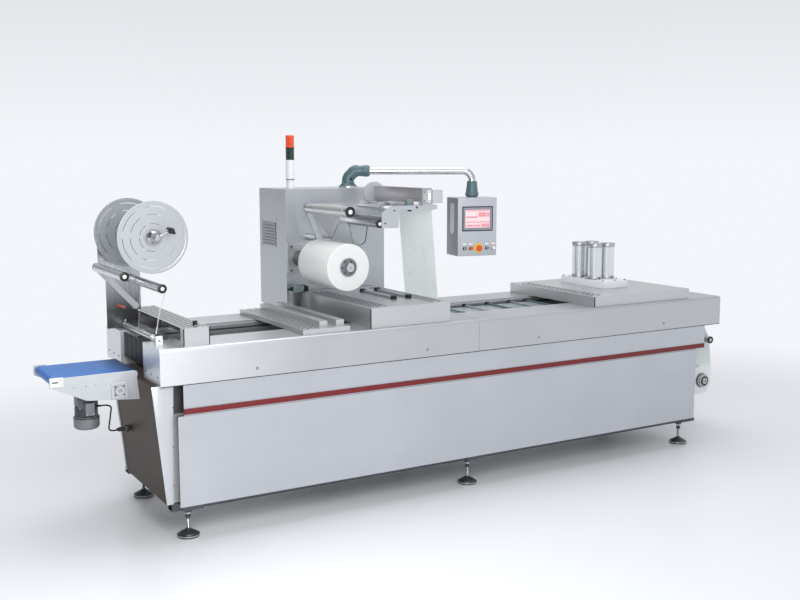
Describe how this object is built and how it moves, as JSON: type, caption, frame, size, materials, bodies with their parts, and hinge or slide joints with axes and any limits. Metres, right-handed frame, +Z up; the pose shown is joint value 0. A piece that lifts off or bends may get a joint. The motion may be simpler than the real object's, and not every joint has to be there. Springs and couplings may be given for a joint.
{
  "type": "thermoforming packaging machine",
  "caption": "Long stainless roll-stock thermoforming machine with forming, sealing and cutting stations, film rolls, trim rewinder, swing-arm operator panel and outfeed belt.",
  "frame": {"origin": "on the floor under the middle of the machine's bounding box", "axes": "+X towards the infeed end along the machine, +Y towards the rear, +Z up"},
  "size_m": [4.5982, 1.3482, 2.066],
  "materials": {
    "brushed_sheet": "brushed",
    "machined_steel": "satin",
    "brown_reflective_sheet": "polished",
    "red_coat": "satin",
    "foot_metal": "polished",
    "chain_steel": "satin",
    "clear_cylinder": "polished",
    "white_plastic": "matte",
    "tool_aluminium": "milled",
    "belt_blue": "matte",
    "motor_grey": "painted",
    "black_rubber": "matte",
    "teal_casting": "painted",
    "lamp_plastic": "gloss",
    "film": "clear",
    "film_roll": "satin",
    "reel_plastic": "satin",
    "panel_paint": "satin",
    "screen_glass": "gloss",
    "red_button": "gloss",
    "white_button": "gloss"
  },
  "bodies": {
    "machine": {"base_frame": "machined_steel", "levelling_feet": "foot_metal", "front_rail": "brushed_sheet", "rear_rail": "brushed_sheet", "upper_skirts": "brushed_sheet", "lower_skirts": "brushed_sheet", "red_trims": "red_coat", "end_panels": "brown_reflective_sheet", "panel_screws": "machined_steel", "chain_guides": "machined_steel", "transport_chains": "chain_steel", "forming_cover": "brushed_sheet", "cylinder_block": "white_plastic", "forming_cylinders": "clear_cylinder", "tool_plates": "tool_aluminium", "sealing_cover": "brushed_sheet", "cover_fittings": "machined_steel", "cutting_plate": "brushed_sheet", "discharge_cover": "brushed_sheet", "conveyor_frame": "brushed_sheet", "conveyor_belt": "belt_blue", "conveyor_gearmotor": "motor_grey", "motor_cable": "black_rubber", "die_lifts": "machined_steel", "rewinder_plate": "brushed_sheet", "cabinet": "brushed_sheet", "signal_tower": "lamp_plastic", "roll_flange": "machined_steel", "web_guide_frame": "brushed_sheet", "printer_beam": "panel_paint", "film_webs": "film", "air_hose": "black_rubber"},
    "cabinet_door": {"cabinet_door": "brushed_sheet"},
    "hmi_arm": {"arm_castings": "teal_casting", "arm_tube": "brushed_sheet"},
    "hmi_panel": {"hmi_box": "panel_paint", "hmi_screen": "screen_glass"},
    "estop": {"estop_button": "red_button"},
    "start": {"start_button": "white_button"},
    "stop": {"stop_button": "red_button"},
    "upper_roll": {"upper_film_roll": "film_roll"},
    "dancer": {"dancer_arm": "machined_steel"},
    "dancer_roller": {"dancer_roller": "tool_aluminium"},
    "guide_roller": {"guide_roller": "tool_aluminium"},
    "reel": {"rewinder_reel": "reel_plastic"},
    "rewinder_arm": {"rewinder_arm": "machined_steel"},
    "rewinder_roller": {"rewinder_roller": "tool_aluminium"},
    "scrap_roller": {"scrap_roller": "tool_aluminium"},
    "lower_scrap_roller": {"lower_scrap_roller": "tool_aluminium"},
    "lower_roll": {"lower_film_roll": "film_roll"},
    "infeed_roller": {"infeed_roller": "tool_aluminium"},
    "drive_roller": {"drive_roller": "machined_steel"},
    "tail_roller": {"tail_roller": "machined_steel"},
    "drive_shaft": {"drive_shaft": "machined_steel"},
    "idler_shaft": {"idler_shaft": "machined_steel"},
    "forming_die": {"forming_die": "tool_aluminium"},
    "sealing_die": {"sealing_die": "tool_aluminium"},
    "plug_plate": {"plug_plate": "tool_aluminium"},
    "cross_knife": {"cross_knife": "machined_steel"},
    "slitter_shaft": {"slitter_shaft": "machined_steel"}
  },
  "joints": [
    {"name": "door_swing", "type": "hinge", "parent": "machine", "child": "cabinet_door", "pos_m": [-0.0267, 0.65685, 1.3], "axis": [0, 0, 1], "range_deg": [-110, 0]},
    {"name": "arm_swing", "type": "hinge", "parent": "machine", "child": "hmi_arm", "pos_m": [-0.214, 0.40985, 1.8], "axis": [0, 0, 1], "range_deg": [-30, 75]},
    {"name": "panel_swivel", "type": "hinge", "parent": "hmi_arm", "child": "hmi_panel", "pos_m": [0.47778, 0.01206, 1.7], "axis": [0, 0, 1], "range_deg": [-60, 60]},
    {"name": "estop_press", "type": "slide", "parent": "hmi_panel", "child": "estop", "axis": [0.1736, 0.9848, 0], "range_m": [0, 0.005]},
    {"name": "start_press", "type": "slide", "parent": "hmi_panel", "child": "start", "axis": [0.1736, 0.9848, 0], "range_m": [0, 0.004], "stiffness_N_per_m": 400},
    {"name": "stop_press", "type": "slide", "parent": "hmi_panel", "child": "stop", "axis": [0.1736, 0.9848, 0], "range_m": [0, 0.004], "stiffness_N_per_m": 400},
    {"name": "upper_roll_spin", "type": "hinge", "parent": "machine", "child": "upper_roll", "pos_m": [-0.64, -0.20015, 1.315], "axis": [0, 1, 0], "continuous": true},
    {"name": "dancer_swing", "type": "hinge", "parent": "machine", "child": "dancer", "pos_m": [-0.574, -0.20015, 1.445], "axis": [0, 1, 0], "range_deg": [-30, 15], "deforming": ["film_webs"]},
    {"name": "dancer_roller_spin", "type": "hinge", "parent": "dancer", "child": "dancer_roller", "pos_m": [-0.651, -0.20015, 1.629], "axis": [0, 1, 0], "continuous": true},
    {"name": "guide_roller_spin", "type": "hinge", "parent": "machine", "child": "guide_roller", "pos_m": [-0.463, -0.20015, 1.557], "axis": [0, 1, 0], "continuous": true},
    {"name": "reel_spin", "type": "hinge", "parent": "machine", "child": "reel", "pos_m": [-1.767, -0.20015, 1.531], "axis": [0, 1, 0], "continuous": true},
    {"name": "rewinder_arm_swing", "type": "hinge", "parent": "machine", "child": "rewinder_arm", "pos_m": [-1.719, -0.20015, 1.12], "axis": [0, 1, 0], "range_deg": [-20, 4]},
    {"name": "rewinder_roller_spin", "type": "hinge", "parent": "rewinder_arm", "child": "rewinder_roller", "pos_m": [-1.925, -0.20015, 1.343], "axis": [0, 1, 0], "continuous": true},
    {"name": "scrap_roller_spin", "type": "hinge", "parent": "machine", "child": "scrap_roller", "pos_m": [-1.734, -0.20015, 1.27], "axis": [0, 1, 0], "continuous": true},
    {"name": "lower_scrap_roller_spin", "type": "hinge", "parent": "machine", "child": "lower_scrap_roller", "pos_m": [-1.781, -0.20015, 1.018], "axis": [0, 1, 0], "continuous": true},
    {"name": "lower_roll_spin", "type": "hinge", "parent": "machine", "child": "lower_roll", "pos_m": [2.196, -0.20015, 0.354], "axis": [0, 1, 0], "continuous": true},
    {"name": "infeed_roller_spin", "type": "hinge", "parent": "machine", "child": "infeed_roller", "pos_m": [2.236, -0.20015, 0.646], "axis": [0, 1, 0], "continuous": true},
    {"name": "drive_roller_spin", "type": "hinge", "parent": "machine", "child": "drive_roller", "pos_m": [-1.958, -0.20015, 0.761], "axis": [0, 1, 0], "continuous": true},
    {"name": "tail_roller_spin", "type": "hinge", "parent": "machine", "child": "tail_roller", "pos_m": [-2.271, -0.20015, 0.8327], "axis": [0, 1, 0], "continuous": true},
    {"name": "drive_shaft_spin", "type": "hinge", "parent": "machine", "child": "drive_shaft", "pos_m": [-1.714, -0.20015, 0.905], "axis": [0, 1, 0], "continuous": true},
    {"name": "idler_shaft_spin", "type": "hinge", "parent": "machine", "child": "idler_shaft", "pos_m": [1.966, -0.20015, 0.905], "axis": [0, 1, 0], "continuous": true},
    {"name": "forming_die_lift", "type": "slide", "parent": "machine", "child": "forming_die", "axis": [0, 0, 1], "range_m": [0, 0.085]},
    {"name": "sealing_die_lift", "type": "slide", "parent": "machine", "child": "sealing_die", "axis": [0, 0, 1], "range_m": [0, 0.085]},
    {"name": "plug_stroke", "type": "slide", "parent": "machine", "child": "plug_plate", "axis": [0, 0, -1], "range_m": [0, 0.038]},
    {"name": "knife_stroke", "type": "slide", "parent": "machine", "child": "cross_knife", "axis": [0, 0, 1], "range_m": [0, 0.038]},
    {"name": "slitter_spin", "type": "hinge", "parent": "machine", "child": "slitter_shaft", "pos_m": [-1.404, -0.20015, 0.905], "axis": [0, 1, 0], "continuous": true}
  ],
  "couplings": [
    {"joint": "tail_roller_spin", "follows": "drive_roller_spin", "ratio": 2},
    {"joint": "idler_shaft_spin", "follows": "drive_shaft_spin", "ratio": 1}
  ]
}
